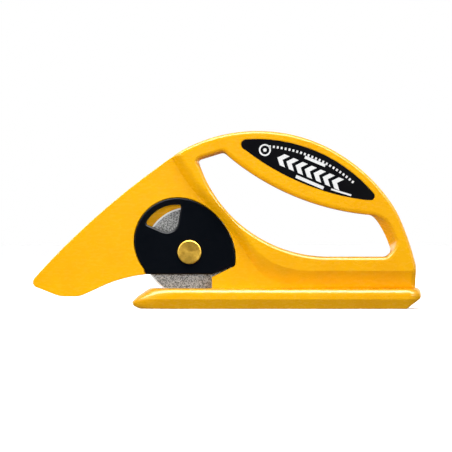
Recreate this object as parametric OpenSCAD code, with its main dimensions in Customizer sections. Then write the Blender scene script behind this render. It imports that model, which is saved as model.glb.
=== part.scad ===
// Circular-blade floor-covering cutter with a closed handle and an under-guide runner.
// Frame: +Z up, standing on the runner's sole; nose towards -X; blade cover faces -Y.
// Origin: on the sole, directly below the blade's pivot axis; y = 0 is the blade's plane.

/* [Blade and pivot] */
// Radius of the circular blade
blade_r = 22.5; // [21:0.25:22.5]
// Thickness of the blade
blade_t = 0.3; // [0.2:0.05:0.4]
// Radius of the blade's bore shaft
shaft_r = 4; // [3.5:0.1:4]
// Radius of the pivot pin's head
head_r = 5.95; // [5:0.05:6]
// Radius of the pivot pin's threaded end
thread_r = 3; // [2.5:0.1:3]
// Distance across the pin's two flats
flats_w = 6; // [5.5:0.1:6.5]

/* [Body] */
// Half thickness of the nose plate and the web
plate_half = 4.5; // [4:0.25:5]
// Half thickness of the closed handle
handle_half = 9.5; // [8.5:0.25:11]
// Bevel along the handle's rims
rim_bevel = 2; // [1:0.25:2.25]
// Wall thickness round the handle's hollow
wall = 2.4; // [2:0.2:2.6]
// Half width of the runner
runner_half = 11; // [9.5:0.25:12]
// Half width of the runner's flat sole
sole_half = 6.8; // [5.5:0.1:7.5]

/* [Cover and label] */
// Gap round the blade cover
cover_gap = 0.3; // [0.2:0.05:0.4]
// Depth of the label's recess
label_recess = 0.4; // [0.3:0.05:0.6]
// Thickness of the label
label_t = 0.3; // [0.2:0.05:0.3]

/* [Knob and washers] */
// Radius of the clamping knob
knob_r = 11; // [10:0.25:12]
// Height of the clamping knob
knob_h = 9; // [8.5:0.25:11]
// Number of grip flutes round the knob
knob_flutes = 12; // [8:1:14]
// Thickness of the flat washer
washer_t = 0.8; // [0.6:0.1:1]

/* [Fits] */
// Radial clearance of every turning or sliding fit
fit = 0.05; // [0.03:0.01:0.09]
// Radial clearance of a screw shank in its pilot hole
pilot_gap = 0.02; // [0.01:0.01:0.05]

/* [Hidden] */
$fn = 64;
tiny = 0.01;
seg = 2.4;                       // aim for one outline point every seg millimetres

// Places along y, from the front (-Y) to the back (+Y)
slot_half = 0.45;                // half width of the blade's slot
cover_back = -0.55;
cover_front = -4.7;
head_seat = -4.2;
head_top = -5.9;
washer_y = plate_half;
wave_y = washer_y + washer_t;
wave_h = 0.9;
knob_y = wave_y + wave_h + 0.1;
insert_y = knob_y + 0.3;
insert_h = 7;
insert_r = 5;
pin_end = insert_y + insert_h - 0.1;
bevel_y = handle_half - rim_bevel;

// The pivot and the blade's slot
pivot = [0, 28.3];
slot_r = blade_r + 0.7;
bore_r = shaft_r + fit;
head_gap = 0.15;                 // round the pin's head in the cover
cover_edge = 0.45;               // bevel round the cover's face

// Outline arcs as [centre x, centre z, radius]
tip_arc = [-75.3, 13.3, 2.8];
flank_arc = [212.9, -246, 390.6];
top_arc = [34, 10.1, 78.5];
shoulder_arc = [31.2, 5.1, 84.2];
rear_arc = [-21.3, -10.5, 137.9];
throat_arc = [-14.6, -52.3, 69.8];
chin_arc = [-57.2, 17.9, 11.8];
jaw_arc = [-62.5, 18.1, 12];
hole_front_arc = [69.7, 94.2, 68.3];
hole_low_arc = [96.9, 29.3, 3.4];
hole_rear_arc = [58.3, 18.3, 43.6];
hole_high_arc = [88.6, 41.9, 5.1];
hole_top_arc = [101.9, 175.1, 128.8];
hole_peak_arc = [16.57, 74.88, 2.83];
hole_nook_arc = [6.3, 73.1, 1.5];
cover_arc = [-5.97, 33.8, 21.5];
cover_heel_arc = [21.8, 22.2, 0.8];
window_arc = [-5.97, 33.8, 18.2];
label_top_arc = [33.2, 7.9, 76.8];
label_rear_arc = [90.1, 56.2, 2.2];
label_low_arc = [103.4, 176.1, 123];
label_front_arc = [28.4, 81.85, 2.7];

// The notch that shows the blade, and the web's ends
notch_front = -21.6;
notch_rear = 11.2;
notch_top = 17.2;
web_foot = 9.4;
web_rear = [[112.8, 12.5], [113.3, web_foot]];
crease_slope = 5;                // width of the slope between plate and handle
web_edge = 19;                   // height where the handle starts to thin into the web
web_toe = 11.6;                  // height where the web has the plate's thickness

runner_top = 10.25;
side_low = 4.9;                  // height where the sloped lower side ends
// Runner sections: [z, front x, rear x, half width]
runner_rows = [
    [0, -24.6, 108.5, sole_half],
    [1.9, -28.2, 111.1, sole_half + 0.38 * (runner_half - sole_half)],
    [3.2, -28.75, 112.9, sole_half + 0.65 * (runner_half - sole_half)],
    [side_low, -27.3, 115.2, runner_half],
    [6.4, -25.8, 115.6, runner_half],
    [8.2, -23, 115.6, runner_half],
    [9.6, -20.8, 115.1, runner_half - 0.6],
    [runner_top, -19.8, 114.4, runner_half - 1.8]
];
bow_end = -4;
stern_r = 6;                     // plan rounding of the rear corners above the sloped side
sole_stern_r = 0.3;              // and at the sole

// Fasteners: places as [x, z]
long_places = [[26, 79.8], [61, 69], [92.5, 54.5]];
short_places = [[-58, 15.5], [-27.5, 56], [34, 15.2], [66, 15.2], [99, 15.2]];
screw_head_r = 2.6;
screw_head_h = 1.9;
screw_r = 1.25;
long_seat = 6.3;
short_seat = 2.4;
long_tip = -6;
short_tip = -3.4;
screw_gap = 0.2;                 // round a head in its well and a shank in the back shell
tip_gap = 0.4;                   // beyond a screw's tip in its pilot hole
cross_l = 3.2;                   // cross recess in a screw's head: length, width and depth
cross_w = 0.7;
cross_d = 1;

// Inside the handle and the runner
boss_r = 3.4;                    // round each long screw
skin_gap = 0.3;                  // extra wall along the curved rims
hollow_foot = 22;                // lowest place of the handle's hollow
rib_places = [10, 43, 77];       // cross ribs in the hollow, along x
rib_t = 1.6;
pocket_places = [32:18:86];      // pockets along the runner, along x
pocket_size = [16, 5.4];
pocket_floor = 2.4;
pocket_wall = 2.6;

// The cover's two locating pegs, as angles on a circle about the cover's arc
peg_circle = 19.9;
peg_angles = [101, 186];
peg_r = 1;
peg_end = 2.5;

// Label and its print
label_y = -handle_half + label_recess;      // the recess's floor
label_gap = 0.15;
print_t = 0.08;

body_colour = [0.99, 0.71, 0.04];
cover_colour = [0.06, 0.07, 0.1];
steel_colour = [0.62, 0.61, 0.59];
brass_colour = [0.76, 0.6, 0.28];
print_colour = [0.93, 0.93, 0.92];

// ---- outline functions -------------------------------------------------------------

// A point on an arc whose radius grows by d
function on(a, angle, d = 0) =
    [a[0] + (a[2] + d) * cos(angle), a[1] + (a[2] + d) * sin(angle)];

// How many steps an arc takes; it depends on the arc alone, so that offset rings match
function steps(a, from, to) = max(2, ceil(abs(to - from) * PI / 180 * a[2] / seg));

// Points along an arc
function arc(a, from, to, d = 0) =
    let (n = steps(a, from, to))
    [for (i = [0:n]) on(a, from + (to - from) * i / n, d)];

function unit(v) = v / norm(v);
function left_of(v) = [-v[1], v[0]];

// A point on a cubic curve, and the curve moved sideways by d to the left of its course
function cubic(p, t) =
    pow(1 - t, 3) * p[0] + 3 * pow(1 - t, 2) * t * p[1] + 3 * (1 - t) * t * t * p[2]
    + pow(t, 3) * p[3];
function cubic_dir(p, t) =
    unit(pow(1 - t, 2) * (p[1] - p[0]) + 2 * (1 - t) * t * (p[2] - p[1])
    + t * t * (p[3] - p[2]));
function curve(p, n, d = 0, first = 0) =
    [for (i = [first:n]) cubic(p, i / n) + d * left_of(cubic_dir(p, i / n))];

// A smooth link between two arcs that are both followed clockwise
function link(a, angle_a, b, angle_b, d = 0, n = 6) =
    let (
        p = on(a, angle_a, d),
        q = on(b, angle_b, d),
        reach = norm(q - p) / 3,
        leave = [sin(angle_a), -cos(angle_a)],
        arrive = [sin(angle_b), -cos(angle_b)]
    )
    [for (i = [1:n - 1]) cubic([p, p + reach * leave, q - reach * arrive, q], i / n)];

function reversed(list) = [for (i = [len(list) - 1:-1:0]) list[i]];

// Upper outline from the nose's crest to the rear foot, moved in by d
function crest(d = 0) = concat(
    arc(flank_arc, 138, 126, -d),
    link(flank_arc, 126, top_arc, 117, -d),
    arc(top_arc, 117, 61.2, -d),
    arc(shoulder_arc, 60.6, 34, -d),
    link(shoulder_arc, 34, rear_arc, 20.5, -d),
    arc(rear_arc, 20.5, 13.4, -d)
);

// Side view of nose, plate and web
function silhouette() = concat(
    arc(tip_arc, 251, 137.5),
    crest(),
    web_rear,
    [[notch_rear, web_foot], [notch_rear, notch_top], [notch_front, notch_top]],
    arc(throat_arc, 96.2, 116),
    arc(chin_arc, -66, -88),
    arc(jaw_arc, -91, -109)
);

// Hand opening, grown by d
function opening(d = 0) = concat(
    arc(hole_front_arc, 199, 270, d),
    arc(hole_low_arc, -90, 12, d),
    arc(hole_rear_arc, 17, 36, d),
    arc(hole_high_arc, 39, 93, d),
    arc(hole_top_arc, 262, 230, -d),
    arc(hole_peak_arc, 49.6, 106.8, d),
    arc(hole_nook_arc, 106.8, 198.5, d)
);

// Where the thin plate meets the thick handle: d runs from 0 at the toe of the slope
// between them to crease_slope at its edge; along the web the slope is wider
crease_upper = [[-9.5, 77], [-4, 67.5], [0, 60.5], [6, 54.7]];
crease_lower = [[6, 54.7], [12, 49], [19, 41.5], [25, 33]];
toe_along_web = [[25, 33], [31, 24.5], [35, web_toe], [52, web_toe]];
edge_start = [25, 33] + crease_slope * left_of(cubic_dir(crease_lower, 1));
edge_along_web = [edge_start, [35.2, 27.5], [41, web_edge], [62, web_edge]];
function crease(d = 0) = concat(
    [[-16 + 0.85 * d, 88 + 0.5 * d]],
    curve(crease_upper, 6, d),
    curve(crease_lower, 6, d, 1),
    [for (i = [1:9])
        let (toe = cubic(toe_along_web, i / 9), edge = cubic(edge_along_web, i / 9))
        toe + d / crease_slope * (edge - toe)],
    [[125, web_toe + d / crease_slope * (web_edge - web_toe)]]
);
function handle_side(d = 0) = concat(crease(d), [[125, 100], [-15, 100]]);

// Blade cover, grown by d; its straight foot drops by foot
function cover_outline(d = 0, foot = 0) = concat(
    [[notch_rear + 0.4 * d, notch_top - 1.2 * d - foot]],
    arc(cover_heel_arc, -68, -10, d),
    curve([[22.6, 22.1], [24.9, 34.5], [12.5, 54.9], [-5.5, 55.3]], 16, -d, 1),
    arc(cover_arc, 92, 219, d),
    [[-21.5 - d, notch_top - foot]]
);

// The cover's inspection window
function window() = concat(
    arc(window_arc, 96, 146),
    arc([-20.2, 42.9, 1.2], 150, 245),
    arc([-11.3, 44, 5.75], 245, 350),
    arc([-5.6, 50.7, 1.3], -8, 80)
);

// Label, drawn in by d
function label_outline(d = 0) = concat(
    arc(label_top_arc, 93.5, 41, -d),
    arc(label_rear_arc, 40, -90, -d),
    arc(label_low_arc, 262.5, 232.5, -d),
    arc(label_front_arc, 232, 93.5, -d)
);

// One level of the runner's half: bow, side and stern, as [x, y]
function runner_ring(row) =
    let (
        bow = bow_end - row[1],
        w = row[3],
        r = sole_stern_r + (stern_r - sole_stern_r) * min(row[0] / side_low, 1),
        stern = row[2] - r
    )
    concat(
        [for (i = [0:10]) [bow_end - bow * cos(9 * i), -w * sin(9 * i)]],
        [for (i = [0:4]) [stern + r * sin(22.5 * i), -w + r * (1 - cos(22.5 * i))]],
        [[row[2], 0]]
    );

// ---- solid helpers -----------------------------------------------------------------

// Extrudes a side-view outline between two places along y
module slab(y0, y1) {
    translate([0, y1, 0])
        rotate([90, 0, 0])
            linear_extrude(height = y1 - y0)
                children();
}

// A round bar along y
module bar(place, y0, y1, r) {
    translate([place[0], y1, place[1]])
        rotate([90, 0, 0])
            cylinder(h = y1 - y0, r = r);
}

// A closed skin over rings of 3-D points
module skin(rings) {
    n = len(rings[0]);
    last = (len(rings) - 1) * n;
    points = [for (ring = rings) for (p = ring) p];
    sides = [
        for (k = [0:len(rings) - 2])
            for (i = [0:n - 1])
                let (a = k * n + i, b = k * n + (i + 1) % n)
                for (face = [[a, b, b + n], [a, b + n, a + n]]) face
    ];
    caps = [[for (i = [n - 1:-1:0]) i], [for (i = [0:n - 1]) last + i]];
    polyhedron(points = points, faces = concat(sides, caps), convexity = 8);
}

// A skin over side-view rings that stand at places along y, the lowest y first
module profile_skin(rings, ys) {
    skin([for (k = [0:len(rings) - 1]) [for (p = rings[k]) [p[0], ys[k], p[1]]]]);
}

// The thick handle down to the slope that thins into the plate and the web
module handle_blank() {
    foot = [[112.6, 17], [113, web_toe], [113, 10.9], [-60, 10.9]];
    intersection() {
        profile_skin(
            [for (d = [rim_bevel, 0, 0]) reversed(concat(crest(d), foot))],
            [-handle_half, -bevel_y, 0]
        );
        profile_skin(
            [handle_side(crease_slope), handle_side(0), handle_side(0)],
            [-handle_half - tiny, -plate_half, tiny]
        );
    }
}

module opening_cutter() {
    profile_skin(
        [opening(rim_bevel + 1), opening(rim_bevel), opening(0), opening(0)],
        [-handle_half - 1, -handle_half, -bevel_y, 1]
    );
}

module runner_half_blank() {
    skin([
        for (row = runner_rows)
            [for (p = reversed(runner_ring(row))) [p[0], p[1], row[0]]]
    ]);
}

// The hollow of one handle half, less its screw bosses and ribs
module handle_hollow() {
    difference() {
        slab(-handle_half + wall, tiny)
            difference() {
                intersection() {
                    polygon(concat(
                        crest(wall + skin_gap),
                        [[108, hollow_foot], [20, hollow_foot]]
                    ));
                    polygon(handle_side(crease_slope + 1.5));
                }
                polygon(opening(wall + skin_gap));
            }
        for (place = long_places)
            bar(place, -handle_half, 1, boss_r);
        for (x = rib_places)
            translate([x, -handle_half, 40])
                cube([rib_t, handle_half + 1, 60]);
    }
}

// Pockets along the runner between cross ribs
module runner_pockets() {
    for (x = pocket_places)
        translate([x, -runner_half + pocket_wall, pocket_floor])
            cube([pocket_size[0], runner_half - pocket_wall + tiny, pocket_size[1]]);
}

module blade_slot() {
    bar(pivot, -slot_half, slot_half, slot_r);
}

// One half of the body on the -Y side, before its own cuts
module half_body() {
    difference() {
        union() {
            slab(-plate_half, 0)
                difference() {
                    polygon(silhouette());
                    polygon(handle_side(crease_slope / 2));
                }
            handle_blank();
            runner_half_blank();
        }
        opening_cutter();
        blade_slot();
        handle_hollow();
        runner_pockets();
    }
}

// ---- sub-parts ---------------------------------------------------------------------

module front_shell() {
    color(body_colour)
        difference() {
            half_body();
            slab(-handle_half - 1, 1)
                polygon(cover_outline(cover_gap, 1));
            slab(-handle_half - 1, -handle_half + label_recess)
                polygon(label_outline());
            for (place = long_places)
                bar(place, long_tip - tip_gap, 1, screw_r + pilot_gap);
            for (place = short_places)
                bar(place, short_tip - tip_gap, 1, screw_r + pilot_gap);
        }
}

// The pin's flatted stretch, grown by gap; it stops the pin from turning
module pin_flats(y0, y1, gap) {
    intersection() {
        bar(pivot, y0, y1, shaft_r + gap);
        translate([-shaft_r - 1, y0 - 1, pivot[1] - flats_w / 2 - gap])
            cube([2 * shaft_r + 2, y1 - y0 + 2, flats_w + 2 * gap]);
    }
}

function peg_place(angle) = on([cover_arc[0], cover_arc[1], peg_circle], angle);

module back_shell() {
    color(body_colour)
        difference() {
            mirror([0, 1, 0])
                half_body();
            pin_flats(-1, plate_half + 1, fit);
            for (angle = peg_angles)
                bar(peg_place(angle), -1, peg_end + 0.4, peg_r + fit);
            for (place = long_places) {
                bar(place, -1, long_seat + 1, screw_r + screw_gap);
                bar(place, long_seat, handle_half + 1, screw_head_r + screw_gap);
            }
            for (place = short_places) {
                bar(place, -1, short_seat + 1, screw_r + screw_gap);
                bar(place, short_seat, handle_half + 1, screw_head_r + screw_gap);
            }
        }
}

// A cross-recessed screw along -Y with its head's seat at y = seat and its tip at y = tip
module screw(place, seat, tip) {
    difference() {
        union() {
            bar(place, seat, seat + screw_head_h, screw_head_r);
            bar(place, tip, seat + tiny, screw_r);
        }
        for (turn = [0, 90])
            translate([place[0], seat + screw_head_h, place[1]])
                rotate([0, turn, 0])
                    cube([cross_l, 2 * cross_d, cross_w], center = true);
    }
}

module long_screws() {
    color(steel_colour)
        for (place = long_places)
            screw(place, long_seat, long_tip);
}

module short_screws() {
    color(steel_colour)
        for (place = short_places)
            screw(place, short_seat, short_tip);
}

module blade_cover() {
    color(cover_colour)
        difference() {
            union() {
                slab(cover_front + cover_edge, cover_back)
                    polygon(cover_outline());
                slab(cover_front, cover_front + cover_edge + tiny)
                    polygon(cover_outline(-cover_edge));
                for (angle = peg_angles)
                    bar(peg_place(angle), cover_back - 1, peg_end, peg_r);
            }
            slab(cover_front - 1, cover_back + 1)
                polygon(window());
            bar(pivot, cover_front - 1, cover_back + 1, shaft_r + pilot_gap);
            bar(pivot, cover_front - 1, head_seat, head_r + head_gap);
        }
}

module blade() {
    edge = 1.4;
    color(steel_colour)
        translate([0, 0, pivot[1]])
            rotate([90, 0, 0])
                rotate_extrude($fn = 96)
                    polygon([
                        [bore_r, -blade_t / 2],
                        [blade_r - edge, -blade_t / 2],
                        [blade_r, -tiny],
                        [blade_r, tiny],
                        [blade_r - edge, blade_t / 2],
                        [bore_r, blade_t / 2]
                    ]);
}

module pivot_pin() {
    color(brass_colour)
        union() {
            translate([pivot[0], head_seat, pivot[1]])
                rotate([90, 0, 0])
                    rotate_extrude()
                        polygon([
                            [0, 0],
                            [head_r, 0],
                            [head_r, head_seat - head_top - 0.4],
                            [head_r - 0.4, head_seat - head_top],
                            [0, head_seat - head_top]
                        ]);
            bar(pivot, head_seat - tiny, slot_half, shaft_r);
            pin_flats(slot_half - tiny, plate_half, 0);
            bar(pivot, plate_half - tiny, pin_end, thread_r);
        }
}

module flat_washer() {
    color(steel_colour)
        difference() {
            bar(pivot, washer_y, washer_y + washer_t, 8);
            bar(pivot, washer_y - 1, washer_y + washer_t + 1, thread_r + 0.2);
        }
}

// A ring with three waves round it
module wave_washer() {
    strip = 0.35;
    swing = (wave_h - strip) / 2;
    turns = 48;
    inner = thread_r + 0.4;
    outer = 7.4;
    function corner(i, r, side) =
        let (a = 360 * i / turns)
        [r * cos(a), wave_y + wave_h / 2 + swing * cos(3 * a) + side * strip / 2,
            pivot[1] + r * sin(a)];
    points = [
        for (i = [0:turns - 1])
            for (c = [[inner, -1], [outer, -1], [outer, 1], [inner, 1]]) corner(i, c[0], c[1])
    ];
    faces = [
        for (i = [0:turns - 1])
            for (c = [0:3])
                let (
                    a = 4 * i + c,
                    b = 4 * i + (c + 1) % 4,
                    e = 4 * ((i + 1) % turns) + c,
                    g = 4 * ((i + 1) % turns) + (c + 1) % 4
                )
                for (face = [[a, g, b], [a, e, g]]) face
    ];
    color(steel_colour)
        polyhedron(points = points, faces = faces, convexity = 4);
}

module knob() {
    edge = 1.2;
    flute_r = 2.2;
    color(cover_colour)
        difference() {
            translate([pivot[0], knob_y + knob_h, pivot[1]])
                rotate([90, 0, 0])
                    rotate_extrude()
                        polygon([
                            [0, 0],
                            [knob_r - edge, 0],
                            [knob_r, edge],
                            [knob_r, knob_h - edge / 2],
                            [knob_r - edge / 2, knob_h],
                            [0, knob_h]
                        ]);
            for (i = [0:knob_flutes - 1])
                bar(
                    on([pivot[0], pivot[1], knob_r + flute_r - 0.9], 360 * i / knob_flutes),
                    knob_y + 1.5, knob_y + knob_h + 1, flute_r
                );
            bar(pivot, knob_y - 1, insert_y + insert_h + 0.2, insert_r + pilot_gap);
        }
}

module knob_insert() {
    color(brass_colour)
        difference() {
            bar(pivot, insert_y, insert_y + insert_h, insert_r);
            bar(pivot, insert_y - 1, insert_y + insert_h + 1, thread_r + fit);
        }
}

module label() {
    color(cover_colour)
        slab(label_y - label_t, label_y)
            polygon(label_outline(label_gap));
}

// Generic print: a row of ticks under the label's crest, a blade sign, an arrow of
// chevrons that shows the cutting direction, and plain bars
module label_print() {
    tilt = -23;
    ring_at = [37.6, 79.1];
    // Bars as [place, length, height, tilt]
    bars = [[[57.5, 75.6], 11, 1.5, tilt], [[53, 66], 15, 1.6, tilt], [[70.5, 59.6], 10.5, 0.9, -17]];
    color(print_colour)
        slab(label_y - label_t - print_t, label_y - label_t) {
            for (i = [0:23])
                let (a = 85 - 1.55 * i)
                polygon([
                    on(label_top_arc, a, -2.9), on(label_top_arc, a - 0.75, -2.9),
                    on(label_top_arc, a - 0.75, -4.1), on(label_top_arc, a, -4.1)
                ]);
            translate(ring_at)
                difference() {
                    circle(r = 3);
                    circle(r = 2.2);
                }
            translate(ring_at)
                circle(r = 0.9);
            translate([43.8, 75.3])
                rotate(tilt)
                    for (i = [0:6])
                        translate([4.9 * i, 0])
                            polygon([[0, 0], [2.6, 3], [5.4, 3], [2.8, 0], [5.4, -3], [2.6, -3]]);
            for (b = bars)
                translate(b[0])
                    rotate(b[3])
                        translate([0, -b[2] / 2])
                            square([b[1], b[2]]);
        }
}

front_shell();
back_shell();
long_screws();
short_screws();
blade_cover();
blade();
pivot_pin();
flat_washer();
wave_washer();
knob();
knob_insert();
label();
label_print();
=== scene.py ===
"""Looks of the closed-handle rotary cutter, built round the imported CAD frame.

Lengths in the outline and piece functions are in millimetres, in the CAD's own frame
(+Z up from the sole, nose towards -X, blade cover towards -Y), and MM turns them into metres.
"""

import math

import bmesh
import bpy
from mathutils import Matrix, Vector


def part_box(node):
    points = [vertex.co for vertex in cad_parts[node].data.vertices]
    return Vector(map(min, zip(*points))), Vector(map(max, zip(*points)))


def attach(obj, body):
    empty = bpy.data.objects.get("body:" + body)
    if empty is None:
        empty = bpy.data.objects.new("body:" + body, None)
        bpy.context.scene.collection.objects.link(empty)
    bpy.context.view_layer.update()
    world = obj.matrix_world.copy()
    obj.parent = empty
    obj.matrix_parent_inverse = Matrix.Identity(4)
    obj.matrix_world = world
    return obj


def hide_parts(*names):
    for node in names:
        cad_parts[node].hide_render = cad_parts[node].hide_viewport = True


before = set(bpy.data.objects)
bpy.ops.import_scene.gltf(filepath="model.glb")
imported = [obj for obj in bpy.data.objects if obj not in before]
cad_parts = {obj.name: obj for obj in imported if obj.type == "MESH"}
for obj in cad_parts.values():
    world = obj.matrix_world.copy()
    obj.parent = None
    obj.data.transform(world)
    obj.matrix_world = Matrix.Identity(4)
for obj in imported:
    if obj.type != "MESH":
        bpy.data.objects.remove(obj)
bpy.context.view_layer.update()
MM = 0.001


def node_span(node, axis):
    """The lowest and highest place of a CAD node along an axis, in millimetres."""
    low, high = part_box(node)
    return low[axis] / MM, high[axis] / MM


# ---- sizes read from the frame -------------------------------------------------------

BLADE_LOW, BLADE_HIGH = node_span("blade", 2)
BLADE_R = (BLADE_HIGH - BLADE_LOW) / 2
PIVOT = (0.0, (BLADE_HIGH + BLADE_LOW) / 2)
BLADE_T = node_span("blade", 1)[1] * 2
BEVEL = 0.85
COVER_FACE = node_span("blade_cover", 1)[0]
PEG_END = node_span("blade_cover", 1)[1]
LABEL_FACE, LABEL_BACK = node_span("label", 1)
PRINT_FACE = node_span("label_print", 1)[0]
PIN_TOP, PIN_END = node_span("pivot_pin", 1)
HEAD_R = node_span("pivot_pin", 0)[1]
WASHER_NEAR, WASHER_FAR = node_span("flat_washer", 1)
WASHER_R = node_span("flat_washer", 0)[1]
WAVE_NEAR, WAVE_FAR = node_span("wave_washer", 1)
WAVE_R = node_span("wave_washer", 0)[1]
KNOB_NEAR, KNOB_FAR = node_span("knob", 1)
KNOB_R = node_span("knob", 0)[1]
INSERT_NEAR, INSERT_FAR = node_span("knob_insert", 1)
INSERT_R = node_span("knob_insert", 0)[1]
RUNNER_HALF = -node_span("front_shell", 1)[0]

# ---- sizes shared with the CAD -------------------------------------------------------

PLATE_HALF = WASHER_NEAR
HANDLE_HALF = 9.5
SOLE_HALF = 6.8
RIM_ROUND = 2.3                 # rounding along the handle's rims
EDGE_ROUND = 0.5                # rounding along the plate's edges
WEB_ROUND = 3.3                 # rounding up the web's rear edge
SEAM = 0.14                     # groove along the parting line
SLOT_HALF = 0.45
COVER_BACK = -0.55
COVER_GAP = 0.3
SHAFT_R = 4.0
THREAD_R = 3.0
FLATS_W = 6.0
FIT = 0.05
HEAD_SEAT = -4.2

TIP_ARC = (-75.3, 13.3, 2.8)
FLANK_ARC = (212.9, -246.0, 390.6)
TOP_ARC = (34.0, 10.1, 78.5)
SHOULDER_ARC = (31.2, 5.1, 84.2)
REAR_ARC = (-21.3, -10.5, 137.9)
THROAT_ARC = (-14.6, -52.3, 69.8)
CHIN_ARC = (-57.2, 17.9, 11.8)
JAW_ARC = (-62.5, 18.1, 12.0)
HOLE_FRONT_ARC = (69.7, 94.2, 68.3)
HOLE_LOW_ARC = (96.9, 29.3, 3.4)
HOLE_REAR_ARC = (58.3, 18.3, 43.6)
HOLE_HIGH_ARC = (88.6, 41.9, 5.1)
HOLE_TOP_ARC = (101.9, 175.1, 128.8)
HOLE_PEAK_ARC = (16.57, 74.88, 2.83)
HOLE_NOOK_ARC = (6.3, 73.1, 1.5)
COVER_ARC = (-5.97, 33.8, 21.5)
COVER_HEEL_ARC = (21.8, 22.2, 0.8)
WINDOW_ARC = (-5.97, 33.8, 18.2)
LABEL_TOP_ARC = (33.2, 7.9, 76.8)
LABEL_REAR_ARC = (90.1, 56.2, 2.2)
LABEL_LOW_ARC = (103.4, 176.1, 123.0)
LABEL_FRONT_ARC = (28.4, 81.85, 2.7)

NOTCH_FRONT = -21.6
NOTCH_REAR = 11.2
NOTCH_TOP = 17.2
WEB_FOOT = 9.4
WEB_REAR = [(112.8, 12.5), (113.3, WEB_FOOT)]
WEB_EDGE = 19.0
WEB_TOE = 11.6
CREASE_SLOPE = 5.2
CREST_TOE = -8.7                # where the slope's toe and edge reach the crest
CREST_EDGE = -4.2
RUNNER_TOP = 10.25
BOW_END = -4.0
STERN_R = 6.2
SIDE_LOW = 4.9

LONG_PLACES = [(26.0, 79.8), (61.0, 69.0), (92.5, 54.5)]
SHORT_PLACES = [(-58.0, 15.5), (-27.5, 56.0), (34.0, 15.2), (66.0, 15.2), (99.0, 15.2)]
SCREW_HEAD_R = 2.6
SCREW_HEAD_H = 1.9
SCREW_R = 1.25
LONG_SEAT = 6.3
SHORT_SEAT = 2.4
PEG_CIRCLE = 19.9
PEG_ANGLES = (101.0, 186.0)
PEG_R = 1.0


# ---- outlines ------------------------------------------------------------------------

def on(a, angle, d=0.0):
    """A point on an arc (centre x, centre z, radius) whose radius grows by d."""
    t = math.radians(angle)
    return (a[0] + (a[2] + d) * math.cos(t), a[1] + (a[2] + d) * math.sin(t))


def arc(a, start, end, step=1.1):
    """Points along an arc, about step apart."""
    n = max(3, math.ceil(abs(math.radians(end - start)) * a[2] / step))
    return [on(a, start + (end - start) * i / n) for i in range(n + 1)]


def cubic(p, t):
    """A point on a cubic curve with four control points."""
    s = 1.0 - t
    w = (s ** 3, 3 * s * s * t, 3 * s * t * t, t ** 3)
    return (sum(k * q[0] for k, q in zip(w, p)), sum(k * q[1] for k, q in zip(w, p)))


def curve(p, n, first=0):
    return [cubic(p, i / n) for i in range(first, n + 1)]


def link(a, angle_a, b, angle_b, n=12):
    """A smooth link between two arcs that are both followed clockwise."""
    p, q = on(a, angle_a), on(b, angle_b)
    reach = math.dist(p, q) / 3
    ta, tb = math.radians(angle_a), math.radians(angle_b)
    leave = (p[0] + reach * math.sin(ta), p[1] - reach * math.cos(ta))
    arrive = (q[0] - reach * math.sin(tb), q[1] + reach * math.cos(tb))
    return [cubic((p, leave, arrive, q), i / n) for i in range(1, n)]


def ccw(points):
    """The same outline, followed anticlockwise as seen from -Y."""
    turn = sum(a[0] * b[1] - b[0] * a[1] for a, b in zip(points, points[1:] + points[:1]))
    return list(points) if turn > 0 else list(reversed(points))


def grown(points, d):
    """An anticlockwise outline moved outwards by d, which may be one number or one a point."""
    n = len(points)
    dist = d if isinstance(d, (list, tuple)) else [d] * n
    out = []
    for i in range(n):
        a, b, c = points[i - 1], points[i], points[(i + 1) % n]
        normals = []
        for p, q in ((a, b), (b, c)):
            length = math.dist(p, q) or 1e-9
            normals.append(((q[1] - p[1]) / length, (p[0] - q[0]) / length))
        nx, nz = normals[0][0] + normals[1][0], normals[0][1] + normals[1][1]
        size = math.hypot(nx, nz) or 1e-9
        nx, nz = nx / size, nz / size
        mitre = min(1.0 / max(nx * normals[0][0] + nz * normals[0][1], 0.3), 1.6)
        out.append((b[0] + nx * dist[i] * mitre, b[1] + nz * dist[i] * mitre))
    return out


def smooth_step(t):
    t = min(max(t, 0.0), 1.0)
    return t * t * (3 - 2 * t)


def crest():
    """Upper outline from the nose to the rear foot."""
    return (arc(FLANK_ARC, 138, 126) + link(FLANK_ARC, 126, TOP_ARC, 117, 20)
            + arc(TOP_ARC, 117, 61.2) + arc(SHOULDER_ARC, 60.6, 34)
            + link(SHOULDER_ARC, 34, REAR_ARC, 20.5) + arc(REAR_ARC, 20.5, 13.4))


CREASE_UPPER = ((-9.5, 77.0), (-4.0, 67.5), (0.0, 60.5), (6.0, 54.7))
CREASE_LOWER = ((6.0, 54.7), (12.0, 49.0), (19.0, 41.5), (25.0, 33.0))
TOE_ALONG_WEB = ((25.0, 33.0), (31.0, 24.5), (35.0, WEB_TOE), (52.0, WEB_TOE))


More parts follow.
